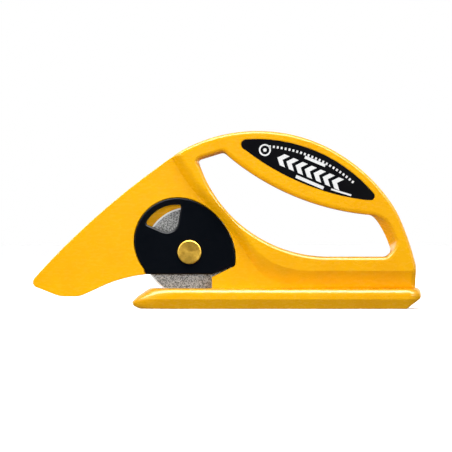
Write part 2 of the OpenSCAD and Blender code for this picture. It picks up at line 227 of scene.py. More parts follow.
def crease(s):
    """The slope's toe on the plate (s = 0), its edge on the handle (s = 1), or between.

    Gives each point with its share of the wide slope along the web, from 0 to 1.
    """
    start = [(-16.0, 88.0)] + curve(CREASE_UPPER, 16) + curve(CREASE_LOWER, 16, 1)
    d = CREASE_SLOPE * s
    points = []
    for i, p in enumerate(start):
        a, b = start[max(i - 1, 0)], start[min(i + 1, len(start) - 1)]
        length = math.dist(a, b)
        points.append((p[0] - d * (b[1] - a[1]) / length, p[1] + d * (b[0] - a[0]) / length))
    lean = math.dist(CREASE_LOWER[2], CREASE_LOWER[3])
    edge_start = (25.0 + CREASE_SLOPE * (CREASE_LOWER[2][1] - 33.0) / lean,
                  33.0 + CREASE_SLOPE * (25.0 - CREASE_LOWER[2][0]) / lean)
    edge_along_web = (edge_start, (35.2, 27.5), (41.0, WEB_EDGE), (62.0, WEB_EDGE))
    shares = [0.0] * len(points)
    n = 30
    for i in range(1, n + 1):
        toe, edge = cubic(TOE_ALONG_WEB, i / n), cubic(edge_along_web, i / n)
        points.append((toe[0] + s * (edge[0] - toe[0]), toe[1] + s * (edge[1] - toe[1])))
        shares.append(smooth_step(i / n))
    points.append((125.0, WEB_TOE + s * (WEB_EDGE - WEB_TOE)))
    shares.append(1.0)
    return points, shares


def slope_rise(s, share):
    """Share of the step from plate to handle at s: rounded over at the edge, or hollow."""
    toe_pitch = 0.5
    return (1 - share) * math.sin(s * math.pi / 2) + share * s * (toe_pitch + (1 - toe_pitch) * s)


def silhouette():
    """Side view of nose, plate and web; inside the handle it follows the crease."""
    nose_end = -7.2
    upper = [p for p in crest() if p[0] < nose_end]
    inner = [p for p in crease(0.45)[0][1:-1] if p[1] < 75.0]
    rear_top = (112.9, WEB_EDGE - 1.0)
    return ccw(
        arc(TIP_ARC, 251, 138.5, 0.5) + upper + inner + [rear_top] + WEB_REAR
        + [(NOTCH_REAR, WEB_FOOT), (NOTCH_REAR, NOTCH_TOP), (NOTCH_FRONT, NOTCH_TOP)]
        + arc(THROAT_ARC, 96.2, 116) + arc(CHIN_ARC, -66, -88) + arc(JAW_ARC, -91, -109))


def opening():
    """The hand opening at its narrowest."""
    return (arc(HOLE_FRONT_ARC, 199, 270) + arc(HOLE_LOW_ARC, -90, 12, 0.5)
            + arc(HOLE_REAR_ARC, 17, 36) + arc(HOLE_HIGH_ARC, 39, 93, 0.5)
            + arc(HOLE_TOP_ARC, 262, 230) + arc(HOLE_PEAK_ARC, 49.6, 106.8, 0.4)
            + arc(HOLE_NOOK_ARC, 106.8, 198.5, 0.3))


def cover_outline(foot=0.0):
    """Blade cover; its straight foot drops by foot."""
    side = ((22.6, 22.1), (24.9, 34.5), (12.5, 54.9), (-5.5, 55.3))
    return ([(NOTCH_REAR, NOTCH_TOP - foot)] + arc(COVER_HEEL_ARC, -68, -10, 0.25)
            + curve(side, 44, 1) + arc(COVER_ARC, 92, 219) + [(-21.5, NOTCH_TOP - foot)])


def window():
    """The cover's inspection window."""
    return (arc(WINDOW_ARC, 96, 146, 0.6) + arc((-20.2, 42.9, 1.2), 150, 245, 0.25)
            + arc((-11.3, 44.0, 5.75), 245, 350, 0.5) + arc((-5.6, 50.7, 1.3), -8, 80, 0.25))


def label_outline():
    return (arc(LABEL_TOP_ARC, 93.5, 41) + arc(LABEL_REAR_ARC, 40, -90, 0.3)
            + arc(LABEL_LOW_ARC, 262.5, 232.5) + arc(LABEL_FRONT_ARC, 232, 93.5, 0.3))


# ---- mesh helpers --------------------------------------------------------------------

def new_object(name, bm):
    """A scene object from a bmesh whose points are in millimetres."""
    bmesh.ops.scale(bm, vec=(MM, MM, MM), verts=bm.verts)
    mesh = bpy.data.meshes.new(name)
    bm.to_mesh(mesh)
    bm.free()
    obj = bpy.data.objects.new(name, mesh)
    bpy.context.scene.collection.objects.link(obj)
    return obj


def skin(name, rings, closed=False):
    """A closed skin over rings of 3-D points; closed joins the last ring to the first."""
    bm = bmesh.new()
    rows = [[bm.verts.new(p) for p in ring] for ring in rings]
    n = len(rings[0])
    pairs = list(zip(rows, rows[1:])) + ([(rows[-1], rows[0])] if closed else [])
    for low, high in pairs:
        for i in range(n):
            j = (i + 1) % n
            bm.faces.new((low[i], low[j], high[j], high[i]))
    if not closed:
        bm.faces.new(list(reversed(rows[0])))
        bm.faces.new(rows[-1])
    bmesh.ops.recalc_face_normals(bm, faces=bm.faces)
    return new_object(name, bm)


def profile_skin(name, outline, steps):
    """Side-view outline swept along y: steps are (y, growth), growth one number or a list."""
    points = ccw(outline)
    return skin(name, [[(p[0], y, p[1]) for p in grown(points, d)] for y, d in steps])


def lathe(name, profile, turns=96, closed=False, wobble=None, centre=PIVOT):
    """Rings (radius, y) about an axis along y; wobble(angle, radius, y) moves the radius."""
    rings = []
    for r, y in profile:
        ring = []
        for i in range(turns):
            t = 2 * math.pi * i / turns
            q = r - (wobble(t, r, y) if wobble else 0.0)
            ring.append((centre[0] + q * math.cos(t), y, centre[1] + q * math.sin(t)))
        rings.append(ring)
    return skin(name, rings, closed)


def box(name, low, high):
    bm = bmesh.new()
    bmesh.ops.create_cube(bm, size=1.0)
    for v in bm.verts:
        for k in range(3):
            v.co[k] = low[k] if v.co[k] < 0 else high[k]
    return new_object(name, bm)


def combine(obj, tool, how):
    """Boolean of obj with tool, which is used up: UNION, DIFFERENCE or INTERSECT."""
    mod = obj.modifiers.new("combine", "BOOLEAN")
    mod.operation = how
    mod.object = tool
    mod.solver = "MANIFOLD"
    bpy.context.view_layer.update()
    graph = bpy.context.evaluated_depsgraph_get()
    mesh = bpy.data.meshes.new_from_object(obj.evaluated_get(graph))
    obj.modifiers.clear()
    old = obj.data
    obj.data = mesh
    bpy.data.meshes.remove(old)
    bpy.data.objects.remove(tool)
    return obj


def cut(obj, *tools):
    for tool in tools:
        combine(obj, tool, "DIFFERENCE")
    return obj


def add(obj, *others):
    for other in others:
        combine(obj, other, "UNION")
    return obj


def mirrored(obj):
    """The same shape on the other side of the parting plane."""
    bm = bmesh.new()
    bm.from_mesh(obj.data)
    for v in bm.verts:
        v.co.y = -v.co.y
    bmesh.ops.reverse_faces(bm, faces=bm.faces)
    bm.to_mesh(obj.data)
    bm.free()
    return obj


def finish(obj, sharp=32.0):
    """Cleans slivers, then shades smooth with creases at edges sharper than the angle."""
    bm = bmesh.new()
    bm.from_mesh(obj.data)
    bmesh.ops.remove_doubles(bm, verts=bm.verts, dist=2e-6)
    bmesh.ops.dissolve_degenerate(bm, edges=bm.edges, dist=1e-6)
    for face in bm.faces:
        face.smooth = True
    bm.to_mesh(obj.data)
    bm.free()
    obj.data.set_sharp_from_angle(angle=math.radians(sharp))
    weigh = obj.modifiers.new("flat faces first", "WEIGHTED_NORMAL")
    weigh.keep_sharp = True
    weigh.weight = 100
    return obj


def rounding(face, radius, n=6):
    """Steps (y, inset) of a quarter round that ends flat at y = face, on the -Y side."""
    out = []
    for i in range(n + 1):
        t = math.radians(90 * i / n)
        out.append((face + radius - radius * math.sin(t), -radius * (1 - math.cos(t))))
    return out


# ---- body shells ---------------------------------------------------------------------

def plate_blank():
    """The thin nose, plate and web, with a larger round up the web's rear edge."""
    outline = silhouette()
    rear = [1.0 if p[0] > 112.0 else 0.0 for p in outline]
    depths = [0.0, 0.15, 1.0, 1.8, 2.6, 3.3, 3.8, 4.0, 4.14, 4.27, 4.38, 4.46, PLATE_HALF]
    steps = []
    for depth in depths:
        edge = quarter(depth, PLATE_HALF, EDGE_ROUND)
        back = quarter(depth, PLATE_HALF, WEB_ROUND)
        seam = SEAM if depth == 0.0 else 0.0
        growth = [-(seam + (back if k else edge)) for k in rear]
        steps.append((-depth, growth))
    return profile_skin("plate", outline, reversed(steps))


def quarter(depth, reach, r):
    """Inset at a depth of a quarter round of radius r that ends flat at reach."""
    t = min(max(0.0, depth - (reach - r)) / r, 1.0)
    return r * (1 - math.sqrt(1 - t * t))


def rim_at(x, z):
    """Half thickness and rounding of the rim, which both shrink where a slope meets it."""
    if x > 111.0 and z < 20.0:
        s = min(max((z - WEB_TOE) / (WEB_EDGE - WEB_TOE), 0.0), 1.0)
        rise, low = slope_rise(s, 1.0), WEB_ROUND
    else:
        s = min(max((x - CREST_TOE) / (CREST_EDGE - CREST_TOE), 0.0), 1.0)
        rise, low = slope_rise(s, 0.0), EDGE_ROUND
    return PLATE_HALF + (HANDLE_HALF - PLATE_HALF) * rise, low + (RIM_ROUND - low) * s


def handle_blank():
    """The thick closed handle before its opening, down to the slope into plate and web."""
    foot = 6.0
    rear = [(112.9, 19.5 - 0.8 * i) for i in range(11)]
    outline = ccw(crest() + rear + [(112.9, foot), (-60.0, foot)])
    steps = []
    for depth in [0.0, 0.15] + [1.2 + 0.25 * i for i in range(33)] + [HANDLE_HALF]:
        growth = [-SEAM if depth == 0.0 else -quarter(depth, *rim_at(x, z)) for x, z in outline]
        steps.append((-depth, growth))
    rim = profile_skin("rim", outline, reversed(steps))
    rings = []
    levels = 12
    step = HANDLE_HALF - PLATE_HALF
    for i in range(levels + 1):
        s = i / levels
        line, shares = crease(s)
        line += [(125.0, 100.0), (-15.0, 100.0)]
        shares += [0.0, 0.0]
        rings.append([(p[0], -PLATE_HALF - step * slope_rise(s, k), p[1])
                      for p, k in zip(line, shares)])
    rings.insert(0, [(p[0], 1.0, p[2]) for p in rings[0]])
    rings.append([(p[0], -HANDLE_HALF - 1.0, p[2]) for p in rings[-1]])
    return combine(rim, skin("slope", rings), "INTERSECT")


def opening_cutter():
    """The hand opening: rounded rims, with a wide slanted wall at the rear end."""
    points = ccw(opening())
    wide_reach = 4.3
    wide = []
    lip = []
    for x, z in points:
        wide.append(smooth_step((x - 89.5) / 7.0) * smooth_step((z - 27.0) / 6.0))
        lip.append(0.6 * smooth_step((19.5 - x) / 3.0) * smooth_step((z - 70.5) / 3.0))
    face = -HANDLE_HALF - 0.01
    steps = [(1.0, 0.0), (0.0, SEAM), (-0.15, 0.0), (-3.0, 0.0)]
    steps += [(y, -d) for y, d in rounding(face, RIM_ROUND, 8)]
    steps.append((face - 1.0, RIM_ROUND))
    sweep = []
    for y, d in steps:
        depth = min(max(-y / HANDLE_HALF, 0.0), 1.0)
        slant = wide_reach * depth + 0.6 * smooth_step((depth - 0.88) / 0.12)
        slack = 1.7 * smooth_step((depth - 0.3) / 0.7)
        growth = [
            d * (1 - w) * (1 - k) + slant * w + (slack + 0.4 * d) * k
            for w, k in zip(wide, lip)
        ]
        sweep.append((y, growth))
    return profile_skin("hand opening", points, reversed(sweep))


def between(z, table):
    """Straight-line reading of a table of (z, value)."""
    for (z0, a), (z1, b) in zip(table, table[1:]):
        if z <= z1:
            return a + (b - a) * (z - z0) / (z1 - z0)
    return table[-1][1]


def runner_blank():
    """One half of the runner: bow front, sloped lower side, rounded upper edge."""
    fronts = [(0, -24.6), (0.9, -27.2), (1.9, -28.3), (3.0, -28.75), (4.0, -28.25),
              (4.9, -27.3), (6.4, -25.7), (8.2, -23.0), (9.6, -20.8), (RUNNER_TOP, -19.8)]
    rears = [(0, 108.5), (4.9, 115.0), (5.6, 115.5), (7.6, 115.6), (9.2, 115.2),
             (RUNNER_TOP, 114.2)]
    top_round = 3.6
    sole_stern_r = 0.3
    kink = math.radians(18)
    levels = [0, 0.12, 0.5, 1.2, 2.0, 3.0, 4.0, 4.6, SIDE_LOW, 5.3, 6.2, RUNNER_TOP - top_round]
    levels += [RUNNER_TOP - top_round * (1 - math.sin(math.radians(11.25 * i))) for i in range(1, 9)]
    rings = []
    for z in levels:
        if z < SIDE_LOW:
            half = SOLE_HALF + (RUNNER_HALF - SOLE_HALF) * z / SIDE_LOW
        else:
            up = max(0.0, z - (RUNNER_TOP - top_round)) / top_round
            half = RUNNER_HALF - top_round * (1 - math.sqrt(max(0.0, 1 - up * up)))
        if z == 0:
            half -= 0.25
        front, rear = between(z, fronts), between(z, rears)
        bow = BOW_END - front
        ring = [(BOW_END - bow * math.cos(t), -half * math.sin(t))
                for t in (math.radians(3.75 * i) for i in range(25))]
        r = sole_stern_r + (STERN_R - sole_stern_r) * min(z / SIDE_LOW, 1.0)
        for i in range(9):
            t = kink + (math.pi / 2 - kink) * i / 8
            along = (math.sin(t) - math.sin(kink)) / (1 - math.sin(kink))
            across = (math.cos(kink) - math.cos(t)) / math.cos(kink)
            ring.append((rear - r + r * along, -half + r * across))
        ring += [(rear, -SEAM), (rear - SEAM, 0.0), (front + SEAM, 0.0)]
        ring[0] = (front, -SEAM)
        rings.append([(x, y, z) for x, y in ring])
    return skin("runner", rings)


def slot_cutter(side):
    """The blade's slot in one half; side is -1 for the cover's half."""
    near, far = sorted((side * SLOT_HALF, -side * 1.0))
    return lathe("slot", [(BLADE_R + 0.7, near), (BLADE_R + 0.7, far)], 128)


def half_body():
    """One half of the body on the -Y side."""
    body = add(handle_blank(), plate_blank(), runner_blank())
    return cut(body, opening_cutter())


def front_shell():
    body = cut(half_body(), slot_cutter(-1))
    flare = [(1.0, COVER_GAP), (-PLATE_HALF + 0.4, COVER_GAP), (-PLATE_HALF + 0.12, COVER_GAP + 0.1),
             (-PLATE_HALF - 0.02, COVER_GAP + 0.4), (-HANDLE_HALF - 1, COVER_GAP + 0.4)]
    recess = [(LABEL_BACK, 0.0), (-HANDLE_HALF + 0.12, 0.1), (-HANDLE_HALF, 0.5),
              (-HANDLE_HALF - 1.0, 0.5)]
    cut(body, profile_skin("cover recess", cover_outline(1.0), reversed(flare)),
        profile_skin("label recess", label_outline(), reversed(recess)))
    body.name = "body_front"
    return finish(body)


def bar(name, place, y0, y1, r, turns=48):
    return lathe(name, [(r, y0), (r, y1)], turns, centre=place)


def peg_place(angle):
    return on((COVER_ARC[0], COVER_ARC[1], PEG_CIRCLE), angle)


def flatted(name, y0, y1, gap):
    """The pin's two-flat stretch, grown by gap."""
    pin = bar(name, PIVOT, y0, y1, SHAFT_R + gap, 72)
    reach = SHAFT_R + 2
    half = FLATS_W / 2 + gap
    slab = box("flats", (-reach, y0 - 1, PIVOT[1] - half), (reach, y1 + 1, PIVOT[1] + half))
    return combine(pin, slab, "INTERSECT")


def back_shell():
    body = cut(mirrored(half_body()), slot_cutter(1), flatted("pin hole", -1, 6, FIT))
    for angle in PEG_ANGLES:
        cut(body, bar("peg hole", peg_place(angle), -1, PEG_END + 0.4, PEG_R + FIT, 32))
    r = SCREW_HEAD_R + 0.2
    top = HANDLE_HALF + 1
    for places, seat, face in ((LONG_PLACES, LONG_SEAT, HANDLE_HALF),
                               (SHORT_PLACES, SHORT_SEAT, PLATE_HALF)):
        for place in places:
            on_web = seat == SHORT_SEAT and place[0] > NOTCH_REAR
            rim = [(r, top)] if on_web else [(r, face - 0.3), (r + 0.35, face + 0.02),
                                             (r + 0.35, top)]
            well = [(SCREW_R + 0.2, -1), (SCREW_R + 0.2, seat), (r, seat)] + rim
            cut(body, lathe("screw well", well, 48, centre=place))
    body.name = "body_back"
    return finish(body)


# ---- cover, blade, pin ---------------------------------------------------------------

def blade_cover():
    """The black cover: rounded face edge, bevelled window, countersunk bore, two pegs."""
    steps = [(COVER_BACK, -0.1), (COVER_BACK - 0.1, 0.0)] + rounding(COVER_FACE, 0.75, 6)
    cover = profile_skin("cover", cover_outline(), reversed(steps))
    bevel = [(COVER_BACK + 1, 0.0), (COVER_FACE + 1.3, 0.0), (COVER_FACE + 0.35, 0.25),
             (COVER_FACE, 0.75), (COVER_FACE - 1, 0.75)]
    cut(cover, profile_skin("window", window(), reversed(bevel)))
    bore = [(SHAFT_R + 0.02, COVER_BACK + 1), (SHAFT_R + 0.02, HEAD_SEAT), (HEAD_R + 0.15, HEAD_SEAT),
            (HEAD_R + 0.15, COVER_FACE + 0.15), (HEAD_R + 0.45, COVER_FACE - 0.01),
            (HEAD_R + 0.45, COVER_FACE - 1)]
    cut(cover, lathe("cover bore", bore, 96))
    for angle in PEG_ANGLES:
        peg = [(PEG_R, COVER_BACK - 1), (PEG_R, PEG_END - 0.3), (PEG_R - 0.3, PEG_END)]
        add(cover, lathe("peg", peg, 32, centre=peg_place(angle)))
    cover.name = "cover_moulding"
    return finish(cover)


def blade():
    """The round blade with its narrow ground bevel."""
    half = BLADE_T / 2
    edge = 0.012
    bore = SHAFT_R + FIT
    profile = [(bore, -half + 0.03), (bore + 0.05, -half), (BLADE_R - BEVEL, -half),
               (BLADE_R, -edge), (BLADE_R, edge), (BLADE_R - BEVEL, half), (bore + 0.05, half),
               (bore, half - 0.03)]
    disc = lathe("blade_disc", profile, 256, closed=True)
    return finish(disc, 3.0)


def pivot_pin():
    """Turned head, plain shaft, two flats and an end grooved in rings like a thread."""
    dish = 0.12
    dish_r = HEAD_R - 1.1
    profile = [
        (SHAFT_R, SLOT_HALF), (SHAFT_R, HEAD_SEAT), (HEAD_R - 0.1, HEAD_SEAT),
        (HEAD_R, HEAD_SEAT - 0.1), (HEAD_R, PIN_TOP + 0.5), (HEAD_R - 0.15, PIN_TOP + 0.2),
        (HEAD_R - 0.5, PIN_TOP), (dish_r, PIN_TOP)]
    rings = 7
    tool_mark = 0.02
    for i in range(1, rings * 2):
        r = dish_r * (1 - i / (rings * 2))
        profile.append((r, PIN_TOP + dish * (1 - (r / dish_r) ** 2) + (tool_mark if i % 2 else 0.0)))
    profile.append((0.25, PIN_TOP + dish + 0.05))
    pin = lathe("pin_brass", profile, 96)
    add(pin, flatted("flats", SLOT_HALF - 0.2, PLATE_HALF, 0.0))
    pitch = 1.0
    depth = 0.22
    thread = [(THREAD_R - depth, PLATE_HALF - 0.2), (THREAD_R - depth, PLATE_HALF + 0.3)]
    y = PLATE_HALF + 0.3
    while y + pitch < PIN_END - 0.3:
        thread += [(THREAD_R, y + 0.4), (THREAD_R, y + 0.6), (THREAD_R - depth, y + pitch)]
        y += pitch
    thread += [(THREAD_R - depth, PIN_END - 0.25), (THREAD_R - 2 * depth, PIN_END)]
    add(pin, lathe("thread", thread, 64))
    return finish(pin, 25.0)


# ---- washers, knob, screws -----------------------------------------------------------

def flat_washer():
    e = 0.12
    bore = THREAD_R + 0.2
    profile = [(bore, WASHER_NEAR + e), (bore + e, WASHER_NEAR), (WASHER_R - e, WASHER_NEAR),
               (WASHER_R, WASHER_NEAR + e), (WASHER_R, WASHER_FAR - e), (WASHER_R - e, WASHER_FAR),
               (bore + e, WASHER_FAR), (bore, WASHER_FAR - e)]
    return finish(lathe("washer_flat", profile, 96, closed=True), 30.0)


def wave_washer():
    """A spring ring with three waves."""
    strip = 0.33
    e = 0.06
    inner = THREAD_R + 0.4
    middle = (WAVE_NEAR + WAVE_FAR) / 2
    swing = (WAVE_FAR - WAVE_NEAR - 0.35) / 2
    section = [(inner, -strip / 2 + e), (inner + e, -strip / 2), (WAVE_R - e, -strip / 2),
               (WAVE_R, -strip / 2 + e), (WAVE_R, strip / 2 - e), (WAVE_R - e, strip / 2),
               (inner + e, strip / 2), (inner, strip / 2 - e)]
    rings = []
    for r, dy in section:
        ring = []
        for i in range(144):
            t = 2 * math.pi * i / 144
            ring.append((r * math.cos(t), middle + swing * math.cos(3 * t) + dy,
                         PIVOT[1] + r * math.sin(t)))
        rings.append(ring)
    return finish(skin("washer_wave", rings, closed=True), 30.0)


def knob():
    """Fluted clamping knob with a rounded crown and a shallow dished top."""
    flutes = 12
    flute_depth = 0.9

    def flute(angle, r, y):
        if r < KNOB_R - 2.2:
            return 0.0
        along = smooth_step((y - KNOB_NEAR - 1.0) / 1.2)
        valley = max(0.0, math.cos(flutes * angle)) ** 1.5
        return flute_depth * valley * along * smooth_step((r - KNOB_R + 2.2) / 1.5)

    ceiling = INSERT_FAR + 0.2
    pocket = INSERT_R + 0.02
    profile = [(pocket, ceiling), (pocket, KNOB_NEAR + 0.2), (pocket + 0.2, KNOB_NEAR),
               (KNOB_R - 0.5, KNOB_NEAR), (KNOB_R - 0.15, KNOB_NEAR + 0.15),
               (KNOB_R, KNOB_NEAR + 0.5), (KNOB_R, KNOB_NEAR + 1.0)]
    crown = 1.6
    rise = KNOB_FAR - crown - (KNOB_NEAR + 1.0)
    profile += [(KNOB_R, KNOB_NEAR + 1.0 + rise * i / 5) for i in range(1, 6)]
    for i in range(1, 7):
        t = math.radians(15 * i)
        profile.append((KNOB_R - crown * (1 - math.cos(t)), KNOB_FAR - crown + crown * math.sin(t)))
    dish_r = KNOB_R - crown - 1.4
    profile += [(dish_r + 0.5, KNOB_FAR), (dish_r + 0.15, KNOB_FAR - 0.12), (dish_r, KNOB_FAR - 0.5),
                (dish_r - 0.4, KNOB_FAR - 0.62), (dish_r * 0.5, KNOB_FAR - 0.56),
                (0.4, KNOB_FAR - 0.5)]
    return finish(lathe("knob_moulding", profile, 216, wobble=flute), 40.0)


def knob_insert():
    bore = THREAD_R + FIT
    e = 0.25
    profile = [(bore, INSERT_NEAR + e), (bore + e, INSERT_NEAR), (INSERT_R - e, INSERT_NEAR),
               (INSERT_R, INSERT_NEAR + e), (INSERT_R, INSERT_FAR - e), (INSERT_R - e, INSERT_FAR),
               (bore + e, INSERT_FAR), (bore, INSERT_FAR - e)]
    return finish(lathe("insert_brass", profile, 96, closed=True), 30.0)


def screw_set(name, places, seat, node):
    """Pan-head screws with a tapered cross recess; their tips reach the CAD node's end."""
    tip = node_span(node, 1)[0]
    top = seat + SCREW_HEAD_H
    whole = None
    for k, place in enumerate(places):
        profile = [(0.3, tip), (SCREW_R, tip + 1.2), (SCREW_R, seat), (SCREW_HEAD_R - 0.1, seat),
                   (SCREW_HEAD_R, seat + 0.1), (SCREW_HEAD_R, top - 0.75),
                   (SCREW_HEAD_R - 0.25, top - 0.3), (SCREW_HEAD_R - 0.8, top - 0.06),
                   (SCREW_HEAD_R - 1.5, top)]
        one = lathe(name, profile, 48, centre=place)
        turn = math.radians(37 * k + 12)
        for arm in (0.0, math.pi / 2):
            rings = []
            for y, long, broad in ((top - 1.05, 0.55, 0.26), (top + 0.3, 1.75, 0.42)):
                ring = []
                for u, v in ((-long, -broad), (long, -broad), (long, broad), (-long, broad)):
                    c, s = math.cos(turn + arm), math.sin(turn + arm)
                    ring.append((place[0] + u * c - v * s, y, place[1] + u * s + v * c))
                rings.append(ring)
            cut(one, skin("cross", rings))
        if whole is None:
            whole = one
        else:
            whole = joined(whole, one)
    whole.name = name
    return finish(whole, 30.0)


def joined(obj, other):
    """Both meshes as one object, side by side."""
    bm = bmesh.new()
    bm.from_mesh(obj.data)
    bm.from_mesh(other.data)
    bm.to_mesh(obj.data)
    bm.free()
    bpy.data.objects.remove(other)
    return obj


# ---- label ---------------------------------------------------------------------------

def label():
    steps = [(LABEL_BACK, -0.15), (LABEL_FACE + 0.1, -0.15), (LABEL_FACE, -0.25)]
    return finish(profile_skin("label_film", label_outline(), reversed(steps)), 30.0)


def tilted(points, place, angle):
    c, s = math.cos(math.radians(angle)), math.sin(math.radians(angle))
    return [(place[0] + x * c - z * s, place[1] + x * s + z * c) for x, z in points]


def rectangle(w, h):
    return [(0, -h / 2), (w, -h / 2), (w, h / 2), (0, h / 2)]


def label_print():
    """Generic print: ticks under the crest, a ring, chevrons and plain bars."""
    tilt = -23.0
    shapes = []
    ticks, first_tick, tick_pitch, tick_w = 24, 85.0, 1.55, 0.75    # angles in degrees
    tick_top, tick_foot = -2.9, -4.1
    for i in range(ticks):
        a = first_tick - tick_pitch * i
        shapes.append([on(LABEL_TOP_ARC, a, tick_top), on(LABEL_TOP_ARC, a - tick_w, tick_top),
                       on(LABEL_TOP_ARC, a - tick_w, tick_foot), on(LABEL_TOP_ARC, a, tick_foot)])
    chevron = [(0, 0), (2.6, 3.0), (5.4, 3.0), (2.8, 0), (5.4, -3.0), (2.6, -3.0)]
    chevrons, chevron_pitch = 7, 4.9
    for i in range(chevrons):
        shapes.append(tilted([(x + chevron_pitch * i, z) for x, z in chevron], (43.8, 75.3), tilt))
    for place, w, h, lean in (((57.5, 75.6), 11.0, 1.5, tilt), ((53.0, 66.0), 15.0, 1.6, tilt),
                              ((70.5, 59.6), 10.5, 0.9, -17.0)):
        shapes.append(tilted(rectangle(w, h), place, lean))
    whole = None
    for shape in shapes:
        piece = profile_skin("print", shape, [(PRINT_FACE, 0.0), (LABEL_FACE, 0.0)])
        whole = piece if whole is None else joined(whole, piece)
    ring_at = (37.6, 79.1)
    ring_in, ring_out = 2.2, 3.0
    rim = [(ring_in, PRINT_FACE), (ring_out, PRINT_FACE), (ring_out, LABEL_FACE),
           (ring_in, LABEL_FACE)]
    whole = joined(whole, lathe("ring", rim, 48, closed=True, centre=ring_at))
    whole = joined(whole, bar("hub", ring_at, PRINT_FACE, LABEL_FACE, 0.9, 24))
    whole.name = "label_graphics"
    return finish(whole, 30.0)


# ---- materials -----------------------------------------------------------------------

def linear(r, g, b):
    """An sRGB colour (0 to 255) as linear values."""
    def one(c):
        c /= 255.0
        return c / 12.92 if c <= 0.04045 else ((c + 0.055) / 1.055) ** 2.4
    return (one(r), one(g), one(b), 1.0)


class Nodes:
    """A material's node tree with short calls for what the materials share."""

    def __init__(self, name):
        self.material = bpy.data.materials.new(name)
        self.material.use_nodes = True
        self.tree = self.material.node_tree
        self.shader = self.tree.nodes["Principled BSDF"]
        self.place = self.make("ShaderNodeTexCoord").outputs["Object"]

    def make(self, kind, **values):
        node = self.tree.nodes.new(kind)
        for key, value in values.items():
            setattr(node, key, value)
        return node

    def join(self, out, into):
        self.tree.links.new(out, into)

    def set(self, **values):
        """Sets the shader's own sockets: underscores in a name stand for spaces."""
        for key, value in values.items():
            self.shader.inputs[key.replace("_", " ")].default_value = value

    def noise(self, scale, detail=3.0, rough=0.55, stretch=(1, 1, 1)):
        mapping = self.make("ShaderNodeMapping")
        mapping.inputs["Scale"].default_value = stretch
        self.join(self.place, mapping.inputs["Vector"])
        node = self.make("ShaderNodeTexNoise")
        node.inputs["Scale"].default_value = scale
        node.inputs["Detail"].default_value = detail
        node.inputs["Roughness"].default_value = rough
        self.join(mapping.outputs["Vector"], node.inputs["Vector"])
        return node.outputs["Fac"]

    def ramp(self, value, low, high, out_low, out_high):
        node = self.make("ShaderNodeMapRange")
        for key, number in (("From Min", low), ("From Max", high),
                            ("To Min", out_low), ("To Max", out_high)):
            node.inputs[key].default_value = number
        self.join(value, node.inputs["Value"])
        return node.outputs["Result"]

    def mix(self, factor, a, b):
        """A colour between a and b; either may be a colour or an output."""
        node = self.make("ShaderNodeMix", data_type="RGBA")
        self.join(factor, node.inputs["Factor"])
        for value, socket in ((a, node.inputs["A"]), (b, node.inputs["B"])):
            if isinstance(value, tuple):
                socket.default_value = value
            else:
                self.join(value, socket)
        return node.outputs["Result"]

    def math(self, how, a, b=None):
        node = self.make("ShaderNodeMath", operation=how)
        for value, socket in zip((a, b), node.inputs):
            if value is None:
                continue
            if isinstance(value, (int, float)):
                socket.default_value = value
            else:
                self.join(value, socket)
        return node.outputs["Value"]

    def bump(self, height, distance, strength=1.0, under=None):
        node = self.make("ShaderNodeBump")
        node.inputs["Distance"].default_value = distance
        node.inputs["Strength"].default_value = strength
        self.join(height, node.inputs["Height"])
        if under is not None:
            self.join(under, node.inputs["Normal"])
        return node.outputs["Normal"]

    def finish(self, colour=None, roughness=None, normal=None):
        for value, key in ((colour, "Base Color"), (roughness, "Roughness"), (normal, "Normal")):
            if value is not None:
                self.join(value, self.shader.inputs[key])
        return self.material

    def reach(self):
        """Distance from the pivot's axis, in metres."""
        split = self.make("ShaderNodeSeparateXYZ")
        self.join(self.place, split.inputs[0])
        rise = self.math("SUBTRACT", split.outputs["Z"], PIVOT[1] * MM)
        return self.math("SQRT", self.math(
            "ADD", self.math("MULTIPLY", split.outputs["X"], split.outputs["X"]),
            self.math("MULTIPLY", rise, rise)))

    def turned(self, scale):
        """Fine rings round the pivot's axis, as a lathe leaves them."""
        node = self.make("ShaderNodeTexNoise", noise_dimensions="1D")
        node.inputs["Scale"].default_value = scale
        node.inputs["Detail"].default_value = 3.0
        self.join(self.reach(), node.inputs["W"])
        return node.outputs["Fac"]


def yellow_plastic():
    """Satin moulded ABS: faint flow mottling, fine grain and light handling scuffs."""
    n = Nodes("yellow_plastic")
    mottle = n.noise(55.0, 4.0)
    colour = n.mix(n.ramp(mottle, 0.3, 0.7, 0.0, 1.0), linear(238, 168, 0), linear(243, 177, 0))
    grain = n.noise(2600.0, 2.0)
    scuff = n.noise(240.0, 6.0, 0.7, (1.0, 1.0, 3.0))
    rough = n.ramp(scuff, 0.35, 0.75, 0.22, 0.34)
    n.set(IOR=1.5, Specular_IOR_Level=0.55)
    return n.finish(colour, rough, n.bump(grain, 0.00002, 0.2))


def black_plastic(name, tint):
    """Fine matt black moulding, a touch greyer where it is rubbed."""
    n = Nodes(name)
    grain = n.noise(2200.0, 3.0)
    rub = n.noise(120.0, 5.0, 0.65)
    colour = n.mix(n.ramp(rub, 0.35, 0.8, 0.0, 0.25), tint, linear(10, 13, 20))
    rough = n.ramp(grain, 0.3, 0.7, 0.3, 0.42)
    n.set(IOR=1.45, Specular_IOR_Level=0.22)
    return n.finish(colour, rough, n.bump(grain, 0.00003, 0.25))


